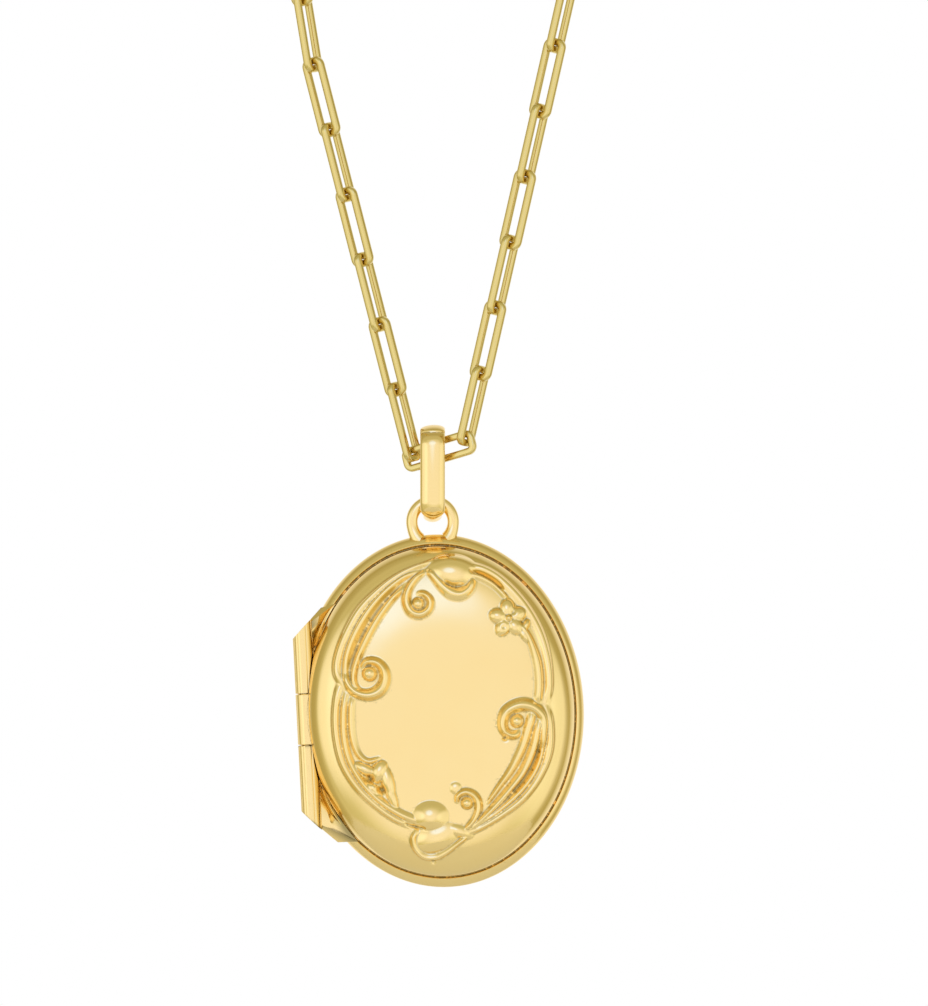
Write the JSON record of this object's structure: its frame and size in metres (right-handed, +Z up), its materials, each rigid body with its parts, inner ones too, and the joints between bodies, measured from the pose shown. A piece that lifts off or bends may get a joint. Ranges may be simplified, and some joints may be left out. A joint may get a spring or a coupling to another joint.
{
  "type": "locket necklace",
  "caption": "Oval hinged locket with an opening scrolled cover, photo frames inside, and a bail on a V of paperclip chain that ends in a clasp and a ring.",
  "frame": {"origin": "middle of the right end ring, one of the two points where the chain is held up", "axes": "+Z up, against gravity; -Y is the front that the locket faces; +X is to the right as it is looked at"},
  "size_m": [0.0269, 0.0066, 0.0826],
  "materials": {
    "gold": "polished yellow gold plate over brass",
    "chain_gold": "polished yellow gold plate on drawn wire",
    "inner_gold": "satin yellow gold plate",
    "clear_window": "clear acetate sheet",
    "blank_card": "uncoated ivory card"
  },
  "bodies": {
    "root": {"left_end_ring": "gold", "right_end_ring": "gold", "clasp_body": "gold", "clasp_rivet": "inner_gold"},
    "left_link_8": {"left_link_8": "chain_gold"},
    "right_link_8": {"right_link_8": "chain_gold"},
    "left_link_7": {"left_link_7": "chain_gold"},
    "right_link_7": {"right_link_7": "chain_gold"},
    "left_link_6": {"left_link_6": "chain_gold"},
    "right_link_6": {"right_link_6": "chain_gold"},
    "left_link_5": {"left_link_5": "chain_gold"},
    "right_link_5": {"right_link_5": "chain_gold"},
    "left_link_4": {"left_link_4": "chain_gold"},
    "right_link_4": {"right_link_4": "chain_gold"},
    "left_link_3": {"left_link_3": "chain_gold"},
    "right_link_3": {"right_link_3": "chain_gold"},
    "left_link_2": {"left_link_2": "chain_gold"},
    "right_link_2": {"right_link_2": "chain_gold"},
    "left_link_1": {"left_link_1": "chain_gold"},
    "right_link_1": {"right_link_1": "chain_gold"},
    "middle_link": {"middle_link": "chain_gold"},
    "bail": {"bail": "gold"},
    "case": {"back_shell": "gold", "snap_bezel": "inner_gold", "back_photo_frame": "inner_gold", "back_window": "clear_window", "back_photo_card": "blank_card", "upper_hinge_leaf": "gold", "lower_hinge_leaf": "gold", "hinge_pin": "inner_gold", "top_loop": "gold"},
    "cover": {"front_cover": "gold", "cover_photo_frame": "inner_gold", "cover_window": "clear_window", "cover_photo_card": "blank_card", "middle_knuckle": "gold"},
    "clasp_lever": {"clasp_lever": "gold"}
  },
  "joints": [
    {"name": "left_link_8_swing", "type": "hinge", "parent": "root", "child": "left_link_8", "pos_m": [-0.02235, 0.00189, -0.00223], "axis": [0.9948, -0.0851, 0.0552], "range_deg": [-14, 14]},
    {"name": "right_link_8_swing", "type": "hinge", "parent": "root", "child": "right_link_8", "pos_m": [-0.00023, 0, -0.001], "axis": [0.9948, -0.0851, 0.0552], "range_deg": [-14, 14]},
    {"name": "left_link_7_swing", "type": "hinge", "parent": "left_link_8", "child": "left_link_7", "pos_m": [-0.02153, 0.00189, -0.00722], "axis": [0.9936, -0.0932, 0.0633], "range_deg": [-14, 14]},
    {"name": "right_link_7_swing", "type": "hinge", "parent": "right_link_8", "child": "right_link_7", "pos_m": [-0.00135, 0, -0.00594], "axis": [0.9936, -0.0932, 0.0633], "range_deg": [-14, 14]},
    {"name": "left_link_6_swing", "type": "hinge", "parent": "left_link_7", "child": "left_link_6", "pos_m": [-0.02071, 0.00189, -0.01222], "axis": [0.992, -0.1029, 0.0731], "range_deg": [-14, 14]},
    {"name": "right_link_6_swing", "type": "hinge", "parent": "right_link_7", "child": "right_link_6", "pos_m": [-0.00247, 0, -0.01087], "axis": [0.992, -0.1029, 0.0731], "range_deg": [-14, 14]},
    {"name": "left_link_5_swing", "type": "hinge", "parent": "left_link_6", "child": "left_link_5", "pos_m": [-0.01946, 0.00189, -0.01712], "axis": [0.9896, -0.118, 0.0819], "range_deg": [-14, 14]},
    {"name": "right_link_5_swing", "type": "hinge", "parent": "right_link_6", "child": "right_link_5", "pos_m": [-0.00359, 0, -0.01581], "axis": [0.9896, -0.118, 0.0819], "range_deg": [-14, 14]},
    {"name": "left_link_4_swing", "type": "hinge", "parent": "left_link_5", "child": "left_link_4", "pos_m": [-0.01821, 0.00189, -0.02202], "axis": [0.986, -0.1382, 0.0937], "range_deg": [-14, 14]},
    {"name": "right_link_4_swing", "type": "hinge", "parent": "right_link_5", "child": "right_link_4", "pos_m": [-0.00471, 0, -0.02074], "axis": [0.986, -0.1382, 0.0937], "range_deg": [-14, 14]},
    {"name": "left_link_3_swing", "type": "hinge", "parent": "left_link_4", "child": "left_link_3", "pos_m": [-0.01696, 0.00189, -0.02693], "axis": [0.9798, -0.1666, 0.1102], "range_deg": [-14, 14]},
    {"name": "right_link_3_swing", "type": "hinge", "parent": "right_link_4", "child": "right_link_3", "pos_m": [-0.00583, 0, -0.02568], "axis": [0.9798, -0.1666, 0.1102], "range_deg": [-14, 14]},
    {"name": "left_link_2_swing", "type": "hinge", "parent": "left_link_3", "child": "left_link_2", "pos_m": [-0.01571, 0.00189, -0.03183], "axis": [0.9685, -0.2092, 0.135], "range_deg": [-14, 14]},
    {"name": "right_link_2_swing", "type": "hinge", "parent": "right_link_3", "child": "right_link_2", "pos_m": [-0.00695, 0, -0.03061], "axis": [0.9685, -0.2092, 0.135], "range_deg": [-14, 14]},
    {"name": "left_link_1_swing", "type": "hinge", "parent": "left_link_2", "child": "left_link_1", "pos_m": [-0.01447, 0.00189, -0.03673], "axis": [0.9439, -0.2796, 0.1758], "range_deg": [-14, 14]},
    {"name": "right_link_1_swing", "type": "hinge", "parent": "right_link_2", "child": "right_link_1", "pos_m": [-0.00808, 0, -0.03554], "axis": [0.9439, -0.2796, 0.1758], "range_deg": [-14, 14]},
    {"name": "middle_link_turn", "type": "hinge", "parent": "left_link_1", "child": "middle_link", "pos_m": [-0.01314, 0.00189, -0.04192], "axis": [0.8682, -0.4234, 0.2588], "range_deg": [-7, 7]},
    {"name": "bail_swing", "type": "hinge", "parent": "middle_link", "child": "bail", "pos_m": [-0.01169, 0.00118, -0.04131], "axis": [1, 0, 0], "range_deg": [-14, 14]},
    {"name": "case_rock", "type": "hinge", "parent": "bail", "child": "case", "pos_m": [-0.01169, 0.00118, -0.04674], "axis": [0, 1, 0], "range_deg": [-25, 25]},
    {"name": "cover_opens", "type": "hinge", "parent": "case", "child": "cover", "pos_m": [-0.02118, 0.00008, -0.06151], "axis": [0.0506, 0, -0.9987], "range_deg": [0, 140]},
    {"name": "clasp_lever_opens", "type": "hinge", "parent": "root", "child": "clasp_lever", "pos_m": [-0.0219, 0.00097, 0.00315], "axis": [-0.566, -0.8192, -0.0927], "range_deg": [0, 24], "stiffness_Nm_per_rad": 0.00005, "springref_deg": -28.65}
  ],
  "couplings": [
    {"joint": "right_link_8_swing", "follows": "left_link_8_swing", "ratio": 1},
    {"joint": "right_link_7_swing", "follows": "left_link_7_swing", "ratio": 1},
    {"joint": "right_link_6_swing", "follows": "left_link_6_swing", "ratio": 1},
    {"joint": "right_link_5_swing", "follows": "left_link_5_swing", "ratio": 1},
    {"joint": "right_link_4_swing", "follows": "left_link_4_swing", "ratio": 1},
    {"joint": "right_link_3_swing", "follows": "left_link_3_swing", "ratio": 1},
    {"joint": "right_link_2_swing", "follows": "left_link_2_swing", "ratio": 1},
    {"joint": "right_link_1_swing", "follows": "left_link_1_swing", "ratio": 1}
  ]
}
